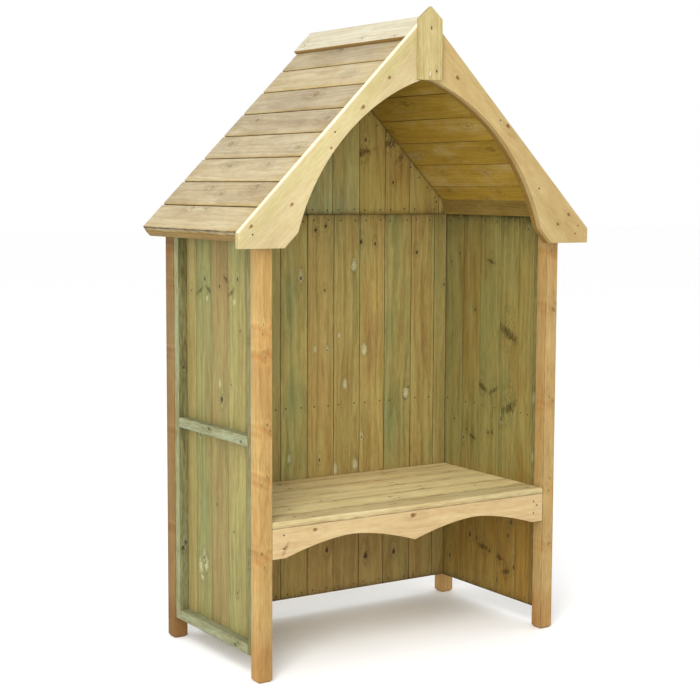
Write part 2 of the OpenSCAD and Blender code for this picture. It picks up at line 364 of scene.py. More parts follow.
def wood_finish(name, pale, dark=(196, 178, 150), green=None, warm=None,
                core=(104, 76, 42), resin=(190, 188, 150), dirt_and_shade=(110, 84, 48),
                ring=0.006, rings=0.3, streaks=1.0, flecks=1.0, blotches=0.5, tinted=0.5,
                turn=None):
    """A wood finish: the softwood group with its own colours; dark multiplies the others
    in latewood and streaks, and a knot's core is that much darker than the wood it is in.
    Boards bring their grain place as attributes; turn reads Object coordinates instead,
    turned to that grain."""
    finish = bpy.data.materials.new(name)
    finish.use_nodes = True
    tree = finish.node_tree
    shader = tree.nodes["Principled BSDF"]
    shader.inputs["Specular IOR Level"].default_value = 0.25
    group = tree.nodes.new("ShaderNodeGroup")
    group.node_tree = softwood
    if turn is None:
        for key in ("grain", "knot", "tone"):
            source = tree.nodes.new("ShaderNodeAttribute")
            source.attribute_name = key
            tree.links.new(source.outputs["Color" if key == "tone" else "Vector"],
                           group.inputs[key.capitalize()])
        tree.links.new(source.outputs["Alpha"], group.inputs["Undarkened"])
    else:
        source = tree.nodes.new("ShaderNodeTexCoord")
        mapping = tree.nodes.new("ShaderNodeMapping")
        mapping.inputs["Rotation"].default_value = turn
        mapping.inputs["Location"].default_value = (3.1, 0.013, 0.031)
        tree.links.new(source.outputs["Object"], mapping.inputs["Vector"])
        tree.links.new(mapping.outputs[0], group.inputs["Grain"])
        group.inputs["Knot"].default_value = (60.0, 60.0, 0.0)
        group.inputs["Tone"].default_value = (0.5, 0.0, 0.0, 1.0)
        group.inputs["Undarkened"].default_value = 1.0
    # the dirt colour also glazes the painted shade that a tone's alpha asks for
    for key, value in (("Pale", pale), ("Dark", dark), ("Green", green or pale),
                       ("Warm", warm or pale), ("Resin", resin), ("Dirt and shade", dirt_and_shade)):
        group.inputs[key].default_value = srgb(*value)
    group.inputs["Core"].default_value = [c / p for c, p in zip(srgb(*core), srgb(*pale))]
    for key, value in (("Ring width", ring), ("Rings", rings), ("Streaks", streaks),
                       ("Flecks", flecks), ("Blotches", blotches), ("Tinted", tinted)):
        group.inputs[key].default_value = value
    tree.links.new(group.outputs["Colour"], shader.inputs["Base Color"])
    tree.links.new(group.outputs["Roughness"], shader.inputs["Roughness"])
    bump = tree.nodes.new("ShaderNodeBump")
    bump.inputs["Strength"].default_value = 0.35
    bump.inputs["Distance"].default_value = 0.0012
    tree.links.new(group.outputs["Height"], bump.inputs["Height"])
    tree.links.new(bump.outputs["Normal"], shader.inputs["Normal"])
    return finish


post_finish = wood_finish("post_pine", (164, 136, 84), green=(158, 146, 106),
                          warm=(156, 106, 52), core=(132, 96, 56), resin=(184, 158, 108),
                          rings=0.2, streaks=0.8, blotches=0.9, tinted=0.25)
# axes of a timber: along, across, and out of its back; an upright has its face in front
UPRIGHT = ((0, 0, 1), (1, 0, 0), (0, -1, 0))
foot_cut, top_cut, post_arris = 0.007, 0.0015, 0.0035
# lightness, green and warmth, the rear posts' lightness partly painted: shade on the rear
# left post under the eave, light on the rear right one; heights of the bands left by whorls
# of knots, and how much the bands show; lightness, green and warmth that the left face adds,
# painted light for how that face is lit; darkening on the corner
posts = {"front_left": ((0.47, 0.0, 0.03), (1.345, 1.07, 1.00, 0.78, 0.63, 0.405), 0.95,
                        (0.22, 0.12, 0.0), 0.0),
         "front_right": ((0.53, 0.25, 0.0), (1.28, 1.10, 0.78, 0.50, 0.30), 0.45,
                         (0.08, 0.0, 0.05), 0.4),
         "rear_left": ((0.13, 0.1, 0.24), (1.30, 1.17, 0.96, 0.70, 0.38), 0.8,
                       (0.0, 0.0, 0.0), 0.0),
         "rear_right": ((0.75, 0.1, 0.0), (1.20, 0.80, 0.40), 0.6, (0.0, 0.0, 0.0), 0.0)}


def post_wash(wide, whorl_heights, much, left, corner):
    """Across the post, bell curves of lightness at each whorl, a light one over a dark
    one, waved and uneven; the left side takes its own tone, painted light for how that
    side is lit, the near corner a darker line, and the foot is warmer and darker below
    150 mm."""
    def wash(a, b, c):
        bands, amber = 0 * a, 0 * a
        for k, h in enumerate(whorl_heights):
            middle = h + 0.005 * np.sin(b * 110 + 2 * k) + 0.0015 * np.sin(b * 420 + c * 300)
            full = much * (0.7 + 0.3 * np.sin(3.3 * k + b * 60))
            for lift, drop, spread in ((0.20, 0.0, 0.004), (0.10, 0.050, 0.005),
                                       (-0.12, 0.013, 0.007)):
                bands += lift * full * np.exp(-((a - middle + drop) / spread) ** 2)
            blot = 0.5 + 0.5 * np.sin(b * 150 + a * 210 + 5 * k)
            amber += (0.2 + 0.4 * much) * blot * np.exp(-((a - middle + 0.026) / 0.018) ** 2)
        # painted light: the left face's own tone, for how that face is lit
        side = b < 0.0008
        foot = np.clip((0.15 - a) / 0.05, 0, 1)
        edge = (b < 0.0030) & (c > wide - 0.0030)
        return (bands - 0.07 * foot + left[0] * side, left[1] * side,
                0.32 * foot + amber + left[2] * side, -corner * edge)
    return wash


for corner, (tone, heights, bands, left, edge) in posts.items():
    low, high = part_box("post_" + corner)
    wide, tall = high.x - low.x, high.z - low.z
    section = eased_section(wide, post_arris, 8)
    wash = post_wash(wide, heights, bands, left, edge)
    knots = [(h + dice.normal(-0.02, 0.016), dice.uniform(0.008, wide - 0.008),
              dice.uniform(0.0022, 0.0055), dice.uniform(0.0, 0.35))
             for h in heights for _ in range(2)]
    post = stick(section, (0.0, tall), (0.0, wide), (low.x, high.y, low.z), UPRIGHT,
                 ease=foot_cut, places=np.linspace(foot_cut, tall - 0.002, 340), tone=tone,
                 wash=wash, knots=knots)
    # the foot's cut narrows both ends alike, so the top is widened again to its own
    top = post["points"][-section.shape[1]:, :2]
    centre = np.array([low.x + wide / 2, high.y - wide / 2])
    top[:] = centre + (top - centre) * (wide - 2 * top_cut) / (wide - 2 * foot_cut)
    assemble("post_of_" + corner, [post], post_finish, "post_" + corner)

# --- Side panels ---------------------------------------------------------------------
# Upright tongued boards between the posts, 11 mm thick and about 104 mm to the joint.
# The arrises are chamfered, so that each joint shows as a fine V on both faces.
side_finish = wood_finish("side_pine", (152, 141, 88), green=(124, 131, 84),
                          warm=(140, 116, 74), core=(80, 64, 34), resin=(176, 174, 134),
                          dirt_and_shade=(96, 92, 58), ring=0.011, tinted=0.25)


def tongued_section(thick, columns, slot, chamfer, back_slot, lip, has_tongue, has_groove):
    """Section of a tongued board in the terms of eased_section: a chamfered face and back,
    a 6 mm tongue on the high edge and a groove in the low one, half the joint's slot wide.
    A lip is a wide clean chamfer on the face's low arris, in a warmer shade."""
    strip = np.linspace(0, 1, columns + 1)
    tongue, play = 0.006, 0.001
    back_cut = min(chamfer, back_slot + 0.0004)
    low_cut = lip or chamfer
    face = (strip, slot + low_cut - (2 * slot + low_cut + chamfer) * strip,
            np.full(columns + 1, thick))
    back = (1 - strip, (back_slot + back_cut) * (2 * strip - 1), np.zeros(columns + 1))
    up, down = 0.6 * thick, 0.3 * thick
    reach = tongue if has_tongue else -slot
    inner = tongue if has_tongue else -back_slot
    deep = tongue + play if has_groove else slot
    far = tongue + play if has_groove else back_slot
    top, under = up - 0.0003, down + 0.0003
    high = (np.ones(6), [-slot, -slot, reach, inner, -back_slot, -back_slot],
            [thick - chamfer, top, top, under, under, back_cut])
    low = (np.zeros(6), [back_slot, back_slot, far, deep, slot, slot],
           [back_cut, down, down, up, up, thick - 0.6 * low_cut])
    outline = np.concatenate([face, high, back, low], axis=1)
    # the joint's hidden faces are darkened fully and its chamfers partly: dirt and painted
    # shade in the joint
    nil, shut, chamfer_soil_and_shade = np.zeros(columns + 1), [1.0] * 4, 0.35
    dirt_and_shade = np.concatenate([nil, has_tongue * np.array([chamfer_soil_and_shade, *shut, 0.2]),
                           nil, has_groove * np.array([0.2, *shut, 0.0 if lip else chamfer_soil_and_shade])])
    warmth = 0 * dirt_and_shade
    if lip:
        warmth[[0, -1]] = 0.2, 0.6
    return np.vstack([outline, dirt_and_shade, warmth])


def stained(spots, base=lambda i, a, b, c: [0.0 * a] * 4):
    """A wash of soft patches laid over another: each spot has its place along and across,
    its spread along and across, and what its middle adds to lightness, green and warmth."""
    def wash(i, a, b, c):
        total = list(base(i, a, b, c))
        for at, aside, run, reach, *adds in spots:
            patch = np.exp(-((a - at) / run) ** 2 - ((b - aside) / reach) ** 2)
            for channel, much in enumerate(adds):
                total[channel] = total[channel] + much * patch
        return total
    return wash


def boarding(seams, end, origin, axes, thick, tones, marks, wash, unders=None,
             grime_and_shade=(0.0, 0.0), fade=0.012, ragged=0.0, slot=0.0008, chamfer=0.0012,
             back_slot=None, lip=0.0):
    """A row of tongued boards: seams are the places of the joints across, first and last
    the row's edges; each board ends at end. marks are knots, as place across, place along,
    radius and resin. tones and unders colour the boards' faces and backs, wash adds to
    them, their ends are darkened with dirt and painted shade, and ragged shortens them
    unevenly."""
    row = []
    marks = np.array(marks)
    back_slot = slot if back_slot is None else back_slot
    for i, (b0, b1) in enumerate(zip(seams[:-1], seams[1:])):
        section = tongued_section(thick, max(3, int((b1 - b0) / 0.012)), slot, chamfer,
                                  back_slot, lip, i < len(seams) - 2, i > 0)
        own = marks[(marks[:, 0] > b0) & (marks[:, 0] < b1)][:, [1, 0, 2, 3]]
        cut = end - ragged * dice.random() if ragged else end
        row.append(stick(section, (0.0, cut), (b0, b1), origin, axes, ease=0.0006,
                         step=0.04, knots=own if len(own) else NO_KNOT, tone=tones[i],
                         under=unders and unders[i], grime_and_shade=grime_and_shade, fade=fade,
                         wash=lambda a, b, c, i=i: wash(i, a, b, c)))
    return row


low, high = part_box("side_boards_left")
tall, deep, thick = high.z - low.z, high.y - low.y, high.x - low.x
# from the rear edge of the panel forwards
left_seams = np.array([0.0, 0.091, 0.191, 0.301, 0.414, deep])
left_tones = [
    (0.49, 0.12, 0.08), (0.48, 0.48, 0), (0.42, 0.2, 0.26), (0.54, 0.28, 0), (0.42, 0.45, 0)]
left_marks = [
    (0.152, 1.11, 0.006, 0.1), (0.121, 1.072, 0.007, -0.5), (0.182, 1.076, 0.007, -1),
    (0.139, 1.096, 0.004, 1.2), (0.168, 1.052, 0.004, 1.2), (0.062, 1.069, 0.004, 0.3),
    (0.25, 1.092, 0.005, 0.1), (0.297, 1.113, 0.007, -1), (0.365, 1.119, 0.006, 0.1),
    (0.322, 1.075, 0.008, -0.5), (0.345, 1.05, 0.004, 1.2), (0.38, 0.965, 0.004, 0),
    (0.262, 0.744, 0.01, 0.1), (0.25, 0.79, 0.004, 1.2), (0.323, 0.796, 0.003, 0),
    (0.116, 0.614, 0.005, 0.8), (0.149, 0.619, 0.005, 0.5), (0.117, 0.189, 0.008, 1.2),
    (0.154, 0.201, 0.008, 1.25), (0.128, 0.165, 0.007, 1.15), (0.14, 0.225, 0.006, 0.9),
    (0.228, 0.411, 0.004, 0.1), (0.338, 0.343, 0.004, 0.1), (0.36, 0.158, 0.005, 0.2),
    (0.47, 0.6, 0.004, 0.2), (0.45, 0.3, 0.005, 0.5)]
left_stains = [
    (1.1, 0.14, 0.1, 0.06, 0, 0.15, 0), (0.95, 0.25, 0.15, 0.05, 0, 0, 0.1),
    (1.2, 0.36, 0.08, 0.06, -0.03, 0.25, 0), (0.3, 0.15, 0.12, 0.06, 0.03, 0.2, 0),
    (0.55, 0.36, 0.12, 0.05, 0.03, 0, 0.1)]

# a side's boards: up, from the rear forwards, with their face to the left
SIDEWAYS = ((0, 0, 1), (0, -1, 0), (-1, 0, 0))


def left_wash(i, a, b, c):
    """Painted shade: darker towards the top edge, under the eave, and more sharply beside the
    two posts.
    """
    near = np.minimum(b, deep - b)
    return (0 * a, 0 * a, 0 * a,
            -0.5 * np.exp((a - tall) / 0.03) - 0.3 * np.exp(-near / 0.008))


panel = boarding(left_seams, tall, (high.x, high.y, low.z), SIDEWAYS, thick, left_tones,
                 left_marks, stained(left_stains, left_wash), grime_and_shade=(0.3, 0.0), fade=0.006,
                 chamfer=0.0008)
assemble("side_boarding_left", panel, side_finish, "side_boards_left")
low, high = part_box("side_boards_right")
right_seams = np.array([0.0, 0.105, 0.203, 0.316, 0.413, 0.493, deep])
right_tones = [
    (0.34, 0.35, 0), (0.35, 0.25, 0.1), (0.38, 0.35, 0), (0.36, 0.3, 0.1),
    (0.36, 0.25, 0.15), (0.32, 0.35, 0.1)]
right_marks = [
    (0.085, 1.168, 0.004, 0.3), (0.037, 1.136, 0.004, 0.2), (0.263, 1.146, 0.006, -0.9),
    (0.177, 0.975, 0.005, 0.1), (0.362, 0.906, 0.016, -1), (0.461, 1.262, 0.004, 0.6),
    (0.502, 0.7, 0.006, 1.2), (0.499, 0.5, 0.005, 1.2), (0.223, 0.71, 0.009, -1),
    (0.286, 0.704, 0.008, -0.5), (0.366, 0.652, 0.016, -0.5), (0.33, 0.612, 0.008, 0.8),
    (0.135, 0.549, 0.004, 0.1), (0.17, 0.528, 0.006, -0.9), (0.259, 0.555, 0.005, 0.1),
    (0.28, 0.558, 0.005, 0.1), (0.063, 0.579, 0.004, 0.1), (0.12, 0.52, 0.006, 0.9),
    (0.163, 0.178, 0.008, 0.05), (0.201, 0.172, 0.006, 0.05), (0.241, 0.148, 0.009, -0.8),
    (0.276, 0.14, 0.006, 0.05), (0.325, 0.13, 0.009, -0.9), (0.41, 0.11, 0.007, 0.05),
    (0.37, 0.087, 0.008, -0.6), (0.046, 0.078, 0.006, 0.1), (0.317, 0.047, 0.006, 0.1),
    (0.392, 0.263, 0.007, 0.2), (0.378, 0.214, 0.006, 0.1)]
right_stains = [
    (1, 0.1, 0.22, 0.05, -0.04, 0.1, 0.1), (1.05, 0.27, 0.2, 0.05, 0.06, 0.3, 0),
    (0.85, 0.4, 0.2, 0.05, 0.05, 0, 0.15), (0.55, 0.15, 0.15, 0.06, 0, 0.3, 0),
    (0.6, 0.3, 0.15, 0.04, 0.04, 0.2, 0), (0.25, 0.3, 0.12, 0.1, -0.05, 0, 0.2)]
inner_finish = wood_finish("inner_pine", (158, 145, 86), green=(121, 126, 76),
                           warm=(138, 110, 50), core=(80, 72, 36), resin=(160, 158, 116),
                           dirt_and_shade=(88, 98, 74), ring=0.011, streaks=0.8, tinted=0.4)


def right_wash(i, a, b, c):
    """Darker towards the top, painted shade under the roof; mildew and painted shade below
    the wall plate and in the corners; browner below the seat.
    """
    below = np.clip((0.42 - a) / 0.03, 0, 1)
    near = np.minimum(b, 0.6 * (deep - b))
    return (0.13 - 0.11 * a / tall + 0.03 * below, -0.2 * below, 0.7 * below,
            -0.6 * np.exp((a - tall) / 0.045) - 0.4 * np.exp(-near / 0.010))


panel = boarding(right_seams, tall, (high.x, high.y, low.z), SIDEWAYS, thick, right_tones,
                 right_marks, stained(right_stains, right_wash), grime_and_shade=(0.8, 0.5),
                 fade=0.008, slot=0.0004, chamfer=0.0006)
assemble("side_boarding_right", panel, inner_finish, "side_boards_right")

# --- Side frames ---------------------------------------------------------------------
# Square battens nailed behind the boards: an upright beside each post, and three cross
# battens cut to fit between the uprights. Greyer than the boards, and roughly sawn.
# the warm colour is mostly for the front uprights' faces, partly painted shade
batten_finish = wood_finish("batten_pine", (146, 143, 103), green=(150, 160, 130),
                            warm=(124, 122, 76), core=(88, 84, 56), resin=(172, 176, 150),
                            dirt_and_shade=(70, 76, 52), streaks=0.8, flecks=2.2, blotches=1.6)
ALONG_X = ((1, 0, 0), (0, 0, 1), (0, 1, 0))
ALONG_Y = ((0, 1, 0), (0, 0, 1), (1, 0, 0))
arris, fit, middle_rail = 0.0015, 0.0002, 0.630


def batten_frame(low, side, tall, span, axes, uprights, cross_tone, knotty):
    """A frame of square battens: an upright for each place, tone and wash, then cross
    battens between them at the foot, at middle height and at the top. knotty holds the
    length, spacing and pale share of the cross battens' knots."""
    section = eased_section(side, arris, 3)
    length, every, pale = knotty
    members = [stick(section, (0.0, tall), (0.0, side), (x, y, low.z), UPRIGHT,
                     knots=whorls(tall, 0, side, 0.5, pale=0.3), tone=tone, wash=wash)
               for x, y, tone, wash in uprights]
    for z in (0.0, middle_rail, tall - side):
        members.append(stick(section, (side + fit, span - side - fit), (0.0, side),
                             (low.x, low.y, low.z + z), axes, tone=cross_tone,
                             knots=whorls(length, 0, side, every, pale=pale)))
    return members


for hand in ("left", "right"):
    low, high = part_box("side_frame_" + hand)
    side, deep, tall = high.x - low.x, high.y - low.y, high.z - low.z

    def upright_wash(a, b, c, rear=0.0):
        """The face is warmer and darker, partly its wood and partly painted shade from the
        post in front, and the rear upright is greener on its left.
        """
        face = c > side - 0.001
        return 0 * a, rear * (b < 0.001), 0.55 * face, -0.3 * face

    # the front upright's darker, warmer tone is partly painted shade from the post in front
    uprights = [(low.x, low.y + side, (0.33, 0.0, 0.5), upright_wash),
                (low.x, high.y, (0.43, 0.1, 0.1),
                 lambda a, b, c: upright_wash(a, b, c, rear=0.3))]
    members = batten_frame(low, side, tall, deep, ALONG_Y, uprights, (0.33, 0.45, 0.0),
                           (deep - 2 * side, 0.3, 0.6))
    assemble("side_battens_" + hand, members, batten_finish,
             "side_frame_" + hand)

# --- Back panel ----------------------------------------------------------------------
# The same boards between the rear posts, with the same battens on the outside.
back_finish = wood_finish("back_pine", (168, 150, 87), green=(132, 136, 87),
                          warm=(152, 125, 76), core=(74, 54, 26), resin=(184, 183, 148),
                          dirt_and_shade=(100, 84, 46), rings=0.32, ring=0.011, tinted=0.38)
low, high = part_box("back_boards")
tall, wide, thick = high.z - low.z, high.x - low.x, high.y - low.y
back_seams = np.array([low.x, -0.477, -0.372, -0.268, -0.163, -0.059, 0.046, 0.151, 0.254,
                       0.366, 0.466, high.x])
back_tones = [
    (0.44, 0.2, 0.2), (0.48, 0.3, 0), (0.46, 0.15, 0.25), (0.56, 0.28, 0.05), (0.7, 0.4, 0),
    (0.57, 0.08, 0.26), (0.47, 0.25, 0.05), (0.48, 0.08, 0.15), (0.42, 0.38, 0),
    (0.43, 0.15, 0.15), (0.38, 0.4, 0)]
back_stains = [
    (0.83, -0.006, 0.22, 0.05, 0, 0, 0.25), (0.9, 0.2, 0.06, 0.03, -0.02, 0, 0.45),
    (0.75, 0.177, 0.04, 0.03, -0.03, 0, 0.45), (1, 0.212, 0.08, 0.03, 0.06, -0.1, 0),
    (0.81, 0.208, 0.03, 0.02, 0, 0, 0.4), (0.6, 0.293, 0.13, 0.04, -0.05, 0.5, 0),
    (0.92, 0.267, 0.09, 0.02, -0.05, 0.3, 0), (0.82, 0.416, 0.13, 0.02, -0.04, 0, 0.5),
    (0.48, 0.4, 0.05, 0.03, 0, 0, 0.4), (1.02, -0.124, 0.1, 0.04, 0, 0.35, 0),
    (0.72, -0.11, 0.1, 0.04, 0.02, 0.25, 0), (1.28, 0.494, 0.03, 0.06, -0.18, 0, 0),
    (0.62, 0.19, 0.12, 0.04, 0.04, 0, 0.15), (0.2, 0.15, 0.08, 0.08, -0.05, 0, 0.3)]
back_marks = [
    (-0.34, 1.215, 0.007, 0.1), (-0.4, 1.06, 0.006, 0.7), (-0.028, 1.252, 0.007, 0.1),
    (0.012, 1.265, 0.006, 0.1), (0.155, 1.21, 0.007, 0.1), (0.213, 1.202, 0.005, 0.1),
    (-0.085, 1.092, 0.006, 0.9), (0.126, 1.125, 0.006, 1.15), (0.389, 1.17, 0.006, 0.1),
    (0.509, 1.053, 0.004, 0.1), (0.009, 1.048, 0.004, 0), (-0.35, 0.77, 0.007, 0.8),
    (-0.3, 0.775, 0.006, 0.8), (-0.24, 0.85, 0.004, 0.4), (0.067, 0.89, 0.003, 1.15),
    (-0.029, 0.846, 0.0035, 1.2), (0.019, 0.843, 0.0035, 0.95), (0.17, 0.833, 0.006, 1.25),
    (-0.225, 0.665, 0.006, 0.9), (0.091, 0.719, 0.005, 1.2), (0.161, 0.533, 0.004, 0.9),
    (0.346, 0.671, 0.006, 1.25), (0.354, 0.69, 0.006, -0.5), (-0.131, 0.479, 0.0045, 1.2),
    (-0.011, 0.467, 0.005, 0.4), (0.052, 0.425, 0.006, 1.2), (0.134, 0.435, 0.006, 1.25),
    (-0.44, 0.34, 0.007, 1), (-0.32, 0.35, 0.005, 0.4), (-0.21, 0.31, 0.007, 1),
    (0.27, 0.3, 0.009, 0.05), (-0.38, 0.12, 0.005, 0.5), (0.02, 0.15, 0.008, 0.05),
    (0.3, 0.11, 0.008, 0.05), (-0.04, 0.23, 0.006, -0.6), (0.13, 0.26, 0.01, -0.7),
    (0.18, 0.11, 0.01, 0.05)]


def back_wash(i, a, b, c):
    """Browner and darker below the seat, and a little dirt under the gable's joint."""
    below = np.clip((0.42 - a) / 0.03, 0, 1)
    return (-0.08 * below, -0.2 * below, 0.4 * below, -0.15 * np.exp((a - tall) / 0.05))


panel = boarding(back_seams, tall, (0, high.y, low.z), UPRIGHT, thick, back_tones,
                 back_marks, stained(back_stains, back_wash), grime_and_shade=(0.8, 0.35),
                 fade=0.009, slot=0.0009, chamfer=0.0011)
assemble("back_boarding", panel, back_finish, "back_boards")
low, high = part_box("back_frame")
side = high.y - low.y
members = batten_frame(low, side, tall, wide, ALONG_X,
                       [(x, high.y, (0.5, 0.15, 0.0), None) for x in (low.x, high.x - side)],
                       (0.52, 0.2, 0.0), (wide, 0.4, 0.5))
assemble("back_battens", members, batten_finish, "back_frame")

# --- Gable panel ---------------------------------------------------------------------
# Upright boards above the back panel, cut at 45 degrees to lie under the roof, set back
# behind it and nailed to a tie, two sloping battens and a king batten.
low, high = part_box("gable_boards")
thick, peak = high.y - low.y, high.z
gable_finish = wood_finish("gable_pine", (168, 150, 78), green=(138, 145, 106),
                           warm=(150, 118, 64), core=(96, 66, 32), resin=(170, 162, 104),
                           dirt_and_shade=(92, 78, 44), ring=0.012, tinted=0.25)
gable_seams = np.array([low.x, -0.470, -0.365, -0.260, -0.155, -0.051, 0.053, 0.161, 0.268,
                        0.371, 0.498, high.x])
gable_tones = [
    (0.44, 0.5, 0), (0.44, 0.5, 0), (0.42, 0.5, 0), (0.46, 0.6, 0), (0.58, 0.6, 0),
    (0.68, 0.6, 0), (0.62, 0.4, 0), (0.5, 0.15, 0.1), (0.47, 0.1, 0.3), (0.46, 0.1, 0.3),
    (0.46, 0.2, 0.1)]
gable_marks = [
    (0.486, 0.043, 0.005, 0.4), (0.186, 0.255, 0.007, 0.5), (0.172, 0.212, 0.012, -0.6),
    (0.285, 0.245, 0.011, -0.55), (0.33, 0.195, 0.009, -0.3), (0.02, 0.22, 0.006, 0.2),
    (-0.03, 0.09, 0.005, 0.2), (0.3, 0.11, 0.005, 0.1)]
gable_stains = [
    (0.25, 0.19, 0.09, 0.015, 0.1, 0, 0), (0.17, 0.32, 0.06, 0.04, -0.05, 0, 0.35),
    (0.03, 0.09, 0.05, 0.06, 0, 0.3, 0), (0.02, 0.47, 0.03, 0.05, -0.15, 0, 0.1),
    (0.12, 0.215, 0.08, 0.04, 0.04, 0, 0)]
# the boards darken towards their sloped tops: dirt and painted shade where they meet the
# roof's underside
panel = boarding(gable_seams, lambda b: peak - low.z - np.abs(b), (0, high.y, low.z),
                 UPRIGHT, thick, gable_tones, gable_marks, stained(gable_stains),
                 grime_and_shade=(0.12, 0.9), fade=0.007)
assemble("gable_boarding", panel, gable_finish, "gable_boards")
low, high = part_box("gable_frame")
side, peak = high.y - low.y, high.z
section = eased_section(side, arris, 3)
half, tie = high.x, low.z + side
batten_tone = (0.5, 0.2, 0.0)
members = [stick(section, (lambda b: -np.minimum(half, peak - low.z - b),
                           lambda b: np.minimum(half, peak - low.z - b)), (0.0, side),
                 (0, low.y, low.z), ALONG_X, tone=(0.52, 0.2, 0.0),
                 knots=whorls(1.0, 0, side, 0.4) - [0.5, 0, 0, 0])]
long = (peak - tie) / ROOT_HALF
for sign in (-1, 1):
    # along the slope from its foot on the tie up to the joint at the peak
    rafter_axes = ((-sign * ROOT_HALF, 0, ROOT_HALF), (-sign * ROOT_HALF, 0, -ROOT_HALF),
                   (0, 1, 0))
    members.append(stick(section, (lambda b: fit + b, lambda b: long - b - fit),
                         (0.0, side), (sign * (peak - tie), low.y, tie), rafter_axes,
                         knots=whorls(long, 0, side, 0.4), tone=batten_tone))
king = peak - side / ROOT_HALF - side / 2 - 3 * fit - tie
members.append(stick(section, (fit, king), (0.0, side), (-side / 2, low.y + side, tie),
                     UPRIGHT, knots=whorls(king, 0, side, 0.3), tone=batten_tone))
assemble("gable_battens", members, batten_finish, "gable_frame")

# --- Roof ----------------------------------------------------------------------------
# Two slopes of tongued boards laid from front to back in one plane. The upper board's
# lower arris is eased, so each joint reads as a pale line over a fine dark one.
roof_finish = wood_finish("roof_pine", (186, 174, 143), dark=(200, 184, 160),
                          green=(157, 145, 125), warm=(160, 132, 51), core=(172, 157, 122),
                          resin=(150, 142, 112), dirt_and_shade=(72, 58, 32), rings=0.25,
                          streaks=0.8, flecks=0.8, blotches=0.9, tinted=0.15)
roof_cover, last_course = 0.1037, 0.03
roof_tones = [
    (0.5, 0, 0.04), (0.47, 0.25, 0.04), (0.5, 0.1, 0), (0.5, 0.2, 0), (0.45, 0.3, 0),
    (0.44, 0.35, 0), (0.5, 0, 0.03), (0.44, 0.3, 0.02), (0.44, 0.2, 0.02)]
# the undersides are golden brown and darken up the slope towards the ridge, painted shade
# under the roof
roof_unders = [
    (0.62, 0, 0.95), (0.54, 0, 0.98), (0.59, 0.15, 0.93), (0.44, 0, 1), (0.5, 0, 1),
    (0.4, 0, 1), (0.39, 0, 1), (0.33, 0, 1), (0.3, 0, 1)]
# place up the slope, place back from the front end
roof_marks = [
    (0.805, 0.368, 0.012, 0), (0.677, 0.168, 0.01, 1.2), (0.592, 0.275, 0.013, 0),
    (0.485, 0.514, 0.008, 0), (0.476, 0.077, 0.011, 0), (0.378, 0.548, 0.012, 0),
    (0.351, 0.097, 0.01, 0.4), (0.277, 0.424, 0.01, 0.2), (0.281, 0.189, 0.008, 0.1),
    (0.182, 0.415, 0.008, 0), (0.152, 0.322, 0.007, 0.1), (0.187, 0.139, 0.008, 0),
    (0.093, 0.427, 0.01, 0), (0.091, 0.333, 0.008, 0.2)]
roof_stains = [
    (0.24, 0.47, 0.14, 0.04, -0.04, 0.5, 0), (0.08, 0.79, 0.06, 0.04, 0, 0, 0.2),
    (0.3, 0.79, 0.2, 0.03, -0.04, 0.25, 0), (0.4, 0.57, 0.14, 0.04, -0.03, 0.15, 0),
    (0.1, 0.18, 0.1, 0.04, 0, 0.3, 0.1)]


def roof_wash(i, a, b, c):
    """Run-off stains the front ends of the lower courses; the eave's edge is darkened, dirt
    and painted shade in its groove; the underside is darker by the joints, unevenly from
    front to back."""
    top = c > 0.006
    joint = np.minimum(b % roof_cover, roof_cover - b % roof_cover)
    shade = ~top * np.exp(-joint / 0.014) * (0.6 + 0.4 * np.sin(a * 23 + 2 * i))
    stain = (i < 6) * np.exp(-a / 0.045) * (0.5 + 0.5 * np.sin(b * 90 + 3 * i))
    # the eave's edge and rim are darkened and less warm: dirt and painted shade in the groove
    eave = (i == 0) * (b < 0.003)
    rim = eave * (c > 0.0145)
    return (-0.05 * stain * top - 0.13 * shade, 0 * a, 0.7 * stain * top - 0.2 * eave,
            -0.45 * eave - 0.5 * rim)


def slope_axes(sign):
    """Axes of a roof board: back from the front, up the slope, and out of its top."""
    return ((0, 1, 0), (-sign * ROOT_HALF, 0, ROOT_HALF), (sign * ROOT_HALF, 0, ROOT_HALF))


sides = (("left", -1), ("right", 1))
for hand, sign in sides:
    low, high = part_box("roof_boards_" + hand)
    half, deep = high.x - low.x, high.y - low.y
    thick = (high.z - half - low.z) / ROOT_HALF
    slope = half / ROOT_HALF
    seams = [*np.arange(0, slope - last_course, roof_cover), slope]
    # the right slope has the left's knots from back to front
    marks = roof_marks
    if hand == "right":
        marks = [(a, deep - b, r, k) for a, b, r, k in marks]
    panel = boarding(seams, deep, (sign * (half - thick * ROOT_HALF), low.y, low.z),
                     slope_axes(sign), thick, roof_tones, marks,
                     stained(roof_stains, roof_wash), unders=roof_unders, ragged=0.0035,
                     slot=0.0027, chamfer=0.0014, back_slot=0.0008, lip=0.0036)
    assemble("roof_boarding_" + hand, panel, roof_finish,
             "roof_boards_" + hand)

# --- Eave battens --------------------------------------------------------------------
# A batten under the lowest board of each slope, square to it; its edge shows below the
# board's as a brown band.
eave_finish = wood_finish("eave_pine", (138, 114, 66), warm=(130, 98, 54),
                          core=(110, 76, 42), tinted=0.4)
thick = 0.022
for hand, sign in sides:
    low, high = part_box("eave_batten_" + hand)
    deep = high.y - low.y
    # the box's breadth holds the batten's width and thickness, each at 45 degrees
    wide = (high.x - low.x) / ROOT_HALF - thick
    origin = (sign * (max(abs(low.x), abs(high.x)) - thick * ROOT_HALF), low.y, low.z)
    batten = stick(eased_section(thick, arris, 4), (0.0, deep), (0.0, wide), origin,
                   slope_axes(sign), knots=whorls(deep, 0, wide, 0.3, pale=0.1))
    assemble("eave_strip_" + hand, [batten], eave_finish,
             "eave_batten_" + hand)

